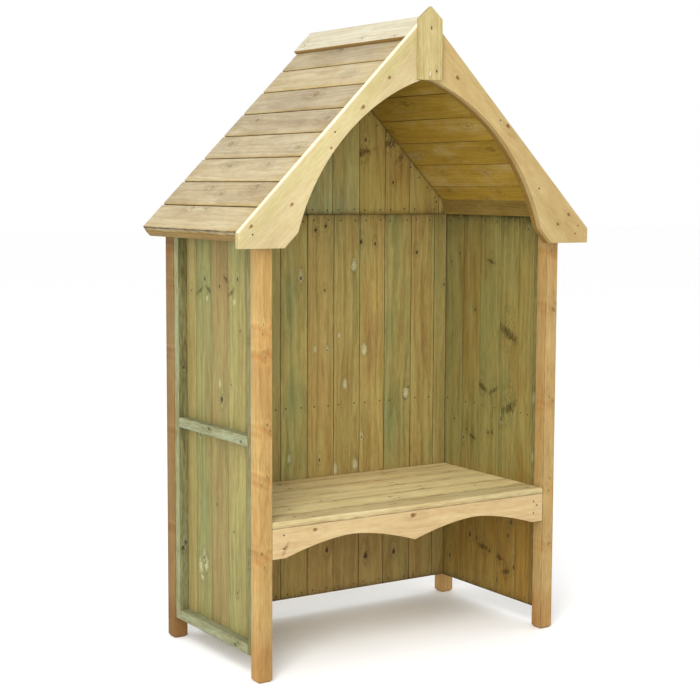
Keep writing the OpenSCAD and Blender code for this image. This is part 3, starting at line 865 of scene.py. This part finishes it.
# --- Ridge boards --------------------------------------------------------------------
# Two boards lie over the top courses and meet at the ridge.
ridge_finish = wood_finish("ridge_pine", (200, 196, 176), dark=(206, 192, 166),
                           green=(180, 172, 134), warm=(148, 118, 66), core=(166, 150, 116),
                           rings=0.25, streaks=0.7, flecks=0.7, tinted=0.2)
for hand, sign in sides:
    low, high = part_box("ridge_board_" + hand)
    deep, half = high.y - low.y, high.x - low.x
    thick = (high.z - half - low.z) / ROOT_HALF
    long = half / ROOT_HALF
    origin = (sign * (half - thick * ROOT_HALF), low.y, low.z)
    section = eased_section(thick, arris, 8)
    # the plumb cut at the ridge leans the high edge back by the height over the back face
    crown = section[0] > 0.999
    section[1][crown] += section[2][crown] - thick
    # the lower edge and the underside are darker and browner: the edge's own colour and
    # painted shade
    board = stick(section, (0.0, deep), (0.0, long), origin, slope_axes(sign),
                  knots=whorls(deep, 0, long, 0.3, pale=0.3), tone=(0.52, 0.0, 0.0),
                  under=(0.3, 0.0, 1.0),
                  wash=lambda a, b, c: (-0.08 * (b < 0.001), 0 * a, 0.9 * (b < 0.001), 0 * a))
    assemble("ridge_cap_" + hand, [board], ridge_finish,
             "ridge_board_" + hand)

# --- Bargeboards and rafters ---------------------------------------------------------
# Pale boards up the front of each slope: a plumb outer end, a level foot, a slanting cut
# and half of the arch. A rafter of the same outline stands behind each, under the roof.
# the left board's warm colour is a pale cream for its upper edge, partly a painted highlight
left_front = wood_finish("left_front_pine", (177, 164, 127), dark=(204, 188, 158),
                         green=(166, 163, 108), warm=(226, 220, 196), core=(122, 84, 52),
                         resin=(190, 172, 132), rings=0.1, streaks=0.6, flecks=0.7,
                         blotches=0.7, tinted=0.15)
right_front = wood_finish("right_front_pine", (176, 161, 118), dark=(200, 184, 152),
                          green=(166, 162, 110), warm=(160, 126, 74), core=(118, 80, 46),
                          resin=(190, 172, 132), rings=0.12, streaks=0.7, flecks=0.7,
                          blotches=0.9, tinted=0.25)
rafter_finish = wood_finish("rafter_pine", (132, 106, 54), warm=(122, 92, 42),
                            rings=0.2, tinted=0.3)
low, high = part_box("bargeboard_right")
peak, foot, reach = high.z, low.z, high.x
foot_width, foot_slant, arch_depth, arch_bow = 0.151, 0.045, 0.190, 0.082
slant_out = reach - foot_width
slant_in = slant_out - foot_slant
crown = peak - arch_depth
rise = crown - foot - foot_slant
chord = math.hypot(slant_in, rise)
radius = chord ** 2 / 8 / arch_bow + arch_bow / 2
back_off = math.sqrt(radius ** 2 - chord ** 2 / 4)
arch_x = slant_in / 2 - back_off * rise / chord
arch_z = (crown + foot + foot_slant) / 2 - back_off * slant_in / chord


def front_low(x):
    """Lower outline of a front board: half of the arch, a circle through the peak of the
    arch and the top of the cut; then the cut at 45 degrees; then the level foot."""
    arc = arch_z + np.sqrt(np.maximum(radius ** 2 - (x - arch_x) ** 2, 0))
    slant = foot + foot_slant - (x - slant_in)
    return np.where(x < slant_in, arc, np.maximum(slant, foot))


def front_board(top, out, y0, y1, sign, **more):
    """A front board from the centre line to its outer end: the outline's edges as
    functions of x, carried through the thickness, with its grain at 45 degrees."""
    places = np.concatenate([np.linspace(0.002, slant_in, 66),
                             np.linspace(slant_in + 0.005, slant_out, 8),
                             np.linspace(slant_out + 0.01, out - 0.002, 12)])
    return stick(eased_section(y1 - y0, 0.002, 16), (0.0, out),
                 (front_low, lambda x: top - x), (0, y1, 0), ((sign, 0, 0), *UPRIGHT[::2]),
                 ease=0.002, places=places, lean=-math.pi / 4, **more)


barge_knots = {
    "left": [(0.476, 1.416, 0.006, 0.05), (0.233, 1.701, 0.007, 0.05),
             (0.140, 1.791, 0.006, 0.0), (0.343, 1.580, 0.0045, 0.0),
             (0.610, 1.354, 0.006, 0.05)],
    "right": [(0.112, 1.801, 0.007, 0.05), (0.311, 1.660, 0.007, 0.05),
              (0.442, 1.466, 0.005, 0.5), (0.567, 1.382, 0.006, 0.05),
              (0.522, 1.351, 0.005, 0.0)]}


def barge_wash(a, b, c):
    """The upper edge is paler and creamier, partly the planed wood and partly a painted
    highlight where light falls on it from above; a green band runs 34 mm below it; the
    middle of the board is lighter and its foot darker."""
    below = peak - a - b
    # the upper edge: paler, partly the planed wood and partly a painted highlight
    edge = below < 0.0005
    band = np.exp(-((below - 0.034) / 0.020) ** 2) * (1 - edge)
    middle = 0.05 * np.exp(-((a - 0.33) / 0.14) ** 2)
    return (0.12 * edge + middle - 0.06 * np.clip((a - 0.45) / 0.1, 0, 1), 0.35 * band,
            0.9 * edge, 0 * a)


for hand, sign, tone, finish in (("left", -1, (0.52, 0.0, 0.0), left_front),
                                 ("right", 1, (0.50, 0.12, 0.35), right_front)):
    low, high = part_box("bargeboard_" + hand)
    board = front_board(peak, reach, low.y, high.y, sign, tone=tone, knots=barge_knots[hand],
                        wash=barge_wash if hand == "left" else None)
    assemble("barge_" + hand, [board], finish, "bargeboard_" + hand)
    low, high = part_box("front_rafter_" + hand)
    out = max(abs(low.x), abs(high.x))
    board = front_board(high.z, out, low.y, high.y, sign, tone=(0.5, 0.0, 0.1))
    assemble("rafter_" + hand, [board], rafter_finish, "front_rafter_" + hand)

# --- Finial --------------------------------------------------------------------------
# A short upright board with a pointed top, nailed over the joint of the bargeboards.
finial_finish = wood_finish("finial_pine", (172, 158, 112), green=(158, 152, 102),
                            warm=(164, 136, 92), core=(104, 84, 54),
                            resin=(196, 190, 164), rings=0.25, streaks=0.7, tinted=0.2)
low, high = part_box("finial")
# the board stays this far back of its box, which leaves room for the nail heads
head_room = 0.0007
tall, wide, thick = high.z - low.z, high.x - low.x, high.y - low.y - head_room
point = 0.037
board = stick(eased_section(thick, arris, 8),
              (0.0, lambda b: tall - np.abs(b) * point / (wide / 2)),
              (-wide / 2, wide / 2), (0, high.y, low.z), UPRIGHT, ease=arris, step=0.01,
              tone=(0.49, 0.15, 0.0),
              knots=[(0.158, 0.0, 0.003, 0.0), (0.026, 0.021, 0.003, 0.0),
                     (0.018, -0.004, 0.0024, 1.2)])
assemble("pointed_finial", [board], finial_finish, "finial")

# --- Seat ----------------------------------------------------------------------------
# Six boards from side to side with eased edges; the front one has a rounded nose.
# the seat's pale colour and the top boards' high lightness are partly painted light, for
# light that the roof keeps off them; the front board is darker, against the light on its nose
seat_finish = wood_finish("seat_pine", (220, 205, 156), green=(200, 196, 144),
                          warm=(204, 172, 118), core=(158, 130, 84), resin=(212, 204, 160),
                          dirt_and_shade=(112, 88, 52), rings=0.2, streaks=1.1, flecks=0.9,
                          tinted=0.25)
seat_tones = [
    (0.39, 0.1, 0.1), (0.74, 0.25, 0), (0.72, 0.1, 0), (0.72, 0.15, 0.05), (0.7, 0, 0.1),
    (0.68, 0, 0.15)]
gap = 0.0015
for number, tone in enumerate(seat_tones, 1):
    name = f"seat_board_{number}"
    low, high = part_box(name)
    wide, deep, thick = high.x - low.x, high.y - low.y, high.z - low.z
    front = number == 1

    def seat_wash(a, b, c):
        """Darker beside the joints, dirt and painted shade; the front board's nose is darker,
        painted shade against the light on it, and darker below, dirt and painted shade where
        it meets the apron.
        """
        joint = np.minimum(b + 0.03 * front, deep - b)
        return (-0.16 * front * np.exp(-b / 0.006), 0 * a, 0 * a,
                -0.85 * np.exp(-joint / 0.005) - 0.7 * front * np.exp(-(b + c) / 0.004))

    section = eased_section(thick, 0.003, max(3, int(deep / 0.005)),
                            nose=0.008 if front else 0.003)
    board = stick(section, (0.0, wide), (0.0 if front else gap, deep - gap),
                  (low.x, low.y, low.z), np.eye(3), ease=arris, tone=tone, wash=seat_wash,
                  knots=whorls(wide, 0, deep, 0.45, pale=0.2))
    assemble(f"seat_slat_{number}", [board], seat_finish, name)

# --- Apron ---------------------------------------------------------------------------
# A pale board under the front of the seat, cut from below in two curves that meet in a
# point; nailed to the posts through its level ends.
apron_finish = wood_finish("apron_pine", (182, 161, 121), dark=(206, 188, 158),
                           green=(178, 160, 112), warm=(178, 142, 98), core=(120, 82, 48),
                           rings=0.12, streaks=0.7, flecks=0.8, blotches=0.8,
                           tinted=0.25)
low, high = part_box("seat_apron")
half, tall, thick = high.x, high.z - low.z, high.y - low.y
apron_rise, flat_end, roundness = 0.046, 0.044, 1.65
lobe = (half - flat_end) / 2


def apron_low(x):
    """Lower edge of the apron: on each half a lobe, level less the power of the distance
    from the lobe's middle, and level at the end beside the post."""
    along = np.abs(x)
    curve = apron_rise * (1 - (np.abs(along - lobe) / lobe) ** roundness)
    return np.where(along < 2 * lobe, np.maximum(curve, 0), 0.0)


places = np.concatenate([np.linspace(0, 2 * lobe, 48),
                         np.linspace(2 * lobe, half - arris, 4)[1:]])
board = stick(eased_section(thick, arris, 8), (-half, half), (apron_low, tall),
              (0, high.y, low.z), ((1, 0, 0), *UPRIGHT[::2]), ease=arris,
              places=np.concatenate([-places[:0:-1], places]),
              wash=lambda a, b, c: (0.05 * a / half, 0 * a, 0 * a, 0 * a),
              knots=[(-0.368, 0.075, 0.007, 0.05), (-0.009, 0.078, 0.009, 0.05),
                     (-0.47, 0.030, 0.006, -0.5), (0.49, 0.055, 0.004, 0.0)])
assemble("curved_apron", [board], apron_finish, "seat_apron")

# --- Plates, ridge batten and seat bearers -------------------------------------------
# Plain battens inside the frame: the wall plates on the posts, the batten under the
# ridge and the bearers below the seat. Their grain runs along each batten's length.
plate_finish = wood_finish("plate_pine", (128, 108, 56), warm=(104, 84, 38),
                           streaks=1.2, blotches=1.2, turn=(0, 0, math.pi / 2))
bearer_finish = wood_finish("bearer_pine", (156, 134, 80), warm=(150, 116, 68),
                            turn=(0, 0, math.pi / 2))
cross_finish = wood_finish("cross_bearer_pine", (156, 134, 80), warm=(150, 116, 68),
                           turn=(0, 0, 0))
battens = {"wall_plate_left": plate_finish, "wall_plate_right": plate_finish,
           "ridge_batten": plate_finish, "seat_bearer_left": bearer_finish,
           "seat_bearer_right": bearer_finish, "seat_bearer_middle": bearer_finish,
           "seat_bearer_back": cross_finish}
for name, finish in battens.items():
    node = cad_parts[name]
    node.data.materials.clear()
    node.data.materials.append(finish)

# --- Nails ---------------------------------------------------------------------------
# Small round heads of dull galvanised nails, two to a board at every batten behind it.
nail_finish = bpy.data.materials.new("nail_steel")
nail_finish.use_nodes = True
tree = nail_finish.node_tree
steel = tree.nodes["Principled BSDF"]
steel.inputs["Metallic"].default_value = 0.3
steel.inputs["Roughness"].default_value = 0.55
where, rust, ramp = (tree.nodes.new("ShaderNode" + kind)
                     for kind in ("TexCoord", "TexNoise", "ValToRGB"))
rust.inputs["Scale"].default_value = 300.0
ramp.color_ramp.elements[0].color = srgb(28, 22, 14)
ramp.color_ramp.elements[1].color = srgb(62, 52, 34)
tree.links.new(where.outputs["Object"], rust.inputs["Vector"])
tree.links.new(rust.outputs["Fac"], ramp.inputs["Fac"])
tree.links.new(ramp.outputs["Color"], steel.inputs["Base Color"])


def nail_row(name, spots, outward):
    """Nail heads as low domes facing outward, one for each spot: rings of eight points
    round the middle, each with its share of the head's radius and height, and a tip."""
    size, proud = 0.0029, 0.0006
    spots, outward = np.array(spots), np.array(outward, float)
    aside = np.cross((0.0, 0.0, 1.0), outward)
    turn = np.arange(8)[:, None] * math.pi / 4
    circle = np.cos(turn) * aside + np.sin(turn) * np.cross(outward, aside)
    head = np.vstack([size * r * circle + proud * h * outward
                      for r, h in ((1.0, -0.4), (1.0, 0.25), (0.55, 0.8))]
                     + [proud * outward])
    k = np.arange(8)
    n = (k + 1) % 8
    quads = [np.stack([r + k, r + n, r + 8 + n, r + 8 + k], 1) for r in (0, 8)]
    tops = np.stack([16 + k, 16 + n, np.full(8, 24)], 1)
    pattern = [*np.concatenate(quads), *tops, k[::-1]]
    faces = [(f + len(head) * s).tolist() for s in range(len(spots)) for f in pattern]
    add_piece(name, (spots[:, None] + head).reshape(-1, 3), faces, nail_finish)


def pairs(seams):
    """Two places on each board, an inset in from its joints; none on a narrow strip."""
    inset, narrow = 0.022, 0.05
    return [x for a, b in zip(seams[:-1], seams[1:]) if b - a > narrow
            for x in (a + inset, b - inset)]


# heights of the rows: over a panel's foot, at its middle batten, and below its top
foot_row, back_middle, side_middle, back_top, side_top = 0.016, 0.724, 0.716, 0.020, 0.018
forward = (0, -1, 0)
low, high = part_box("back_boards")
spots = [(x + dice.normal(0, 0.0025), low.y, z + dice.normal(0, 0.0015))
         for z in (low.z + foot_row, back_middle, high.z - back_top)
         for x in pairs(back_seams)]
nail_row("back_nails", spots, forward)
low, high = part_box("gable_boards")
spots = [(x, low.y, low.z + foot_row + dice.normal(0, 0.0015)) for x in pairs(gable_seams)]
# along both slopes, straight below the boards' edge
edge_drop, first_nail, last_nail, spacing = 0.026, 0.03, 0.72, 0.05
spots += [(sign * s * ROOT_HALF, low.y, high.z - edge_drop - s * ROOT_HALF)
          for sign in (-1, 1) for s in np.arange(first_nail, last_nail, spacing)]
nail_row("gable_nails", spots, forward)
for hand, seams, sign in (("left", left_seams, 1), ("right", right_seams, -1)):
    low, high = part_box("side_boards_" + hand)
    spots = [(high.x if sign > 0 else low.x, high.y - y, z + dice.normal(0, 0.002))
             for z in (low.z + foot_row, side_middle, high.z - side_top)
             for y in pairs(seams)]
    nail_row("side_nails_" + hand, spots, (sign, 0, 0))
low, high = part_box("bargeboard_left")
spots = [(x, low.y, z) for x, z in ((-0.330, 1.626), (-0.605, 1.331), (0.281, 1.677),
                                    (0.608, 1.346), (0.596, 1.320))]
low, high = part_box("finial")
spots += [(0.0, low.y + head_room, high.z - 0.066), (0.02, low.y + head_room, low.z + 0.028)]
low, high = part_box("seat_apron")
end_inset, low_nail, high_nail = 0.038, 0.030, 0.070
spots += [(sign * (high.x - end_inset), low.y, z) for sign in (-1, 1)
          for z in (low.z + low_nail, low.z + high_nail)]
nail_row("front_nails", spots, forward)

# --- Stage: floor, light and camera --------------------------------------------------
# A plain pale floor under plain soft studio light, seen from the front left.
floor_mesh = bpy.data.meshes.new("floor")
floor_mesh.from_pydata([(-40, -40, 0), (40, -40, 0), (40, 40, 0), (-40, 40, 0)], [],
                       [(0, 1, 2, 3)])
floor = bpy.data.objects.new("floor", floor_mesh)
floor_mesh.materials.append(bpy.data.materials.new("pale_floor"))
floor_mesh.materials[0].use_nodes = True
paper = floor_mesh.materials[0].node_tree.nodes["Principled BSDF"]
paper.inputs["Base Color"].default_value = (0.99, 0.99, 0.99, 1)
paper.inputs["Roughness"].default_value = 0.9
paper.inputs["Specular IOR Level"].default_value = 0.1
bpy.context.scene.collection.objects.link(floor)

world = bpy.data.worlds.new("studio")
bpy.context.scene.world = world
world.use_nodes = True
world.node_tree.nodes["Background"].inputs["Color"].default_value = (1.0, 1.0, 1.0, 1)
world.node_tree.nodes["Background"].inputs["Strength"].default_value = 1.0


def soft_light(name, place, aim, size, power):
    """A square area light at place, turned towards aim."""
    light = bpy.data.lights.new(name, "AREA")
    light.size, light.energy = size, power
    lamp = bpy.data.objects.new(name, light)
    lamp.location = place
    lamp.rotation_euler = (Vector(aim) - Vector(place)).to_track_quat("-Z", "Y").to_euler()
    bpy.context.scene.collection.objects.link(lamp)


soft_light("key", (-3.1, -3.5, 4.6), (0, 0, 0.7), 2.6, 170)
soft_light("fill", (-3.6, -4.0, 1.5), (0, 0, 1.0), 2.4, 170)

scene = bpy.context.scene
scene.view_settings.view_transform = "Standard"
camera_data = bpy.data.cameras.new("camera")
camera_data.lens, camera_data.sensor_width = 79.45, 36.0
camera_data.shift_x, camera_data.shift_y = -0.0245, -0.0117
camera_data.clip_end = 200
camera = bpy.data.objects.new("camera", camera_data)
camera.location = (-2.750, -4.172, 1.466)
# turned right of straight ahead, looking a little down, and hardly tilted
yaw, pitch, roll = (math.radians(v) for v in (33.44, -5.71, 0.32))
camera.rotation_euler = (Matrix.Rotation(-yaw, 3, "Z")
                         @ Matrix.Rotation(math.pi / 2 + pitch, 3, "X")
                         @ Matrix.Rotation(roll, 3, "Z")).to_euler()
scene.collection.objects.link(camera)
scene.camera = camera
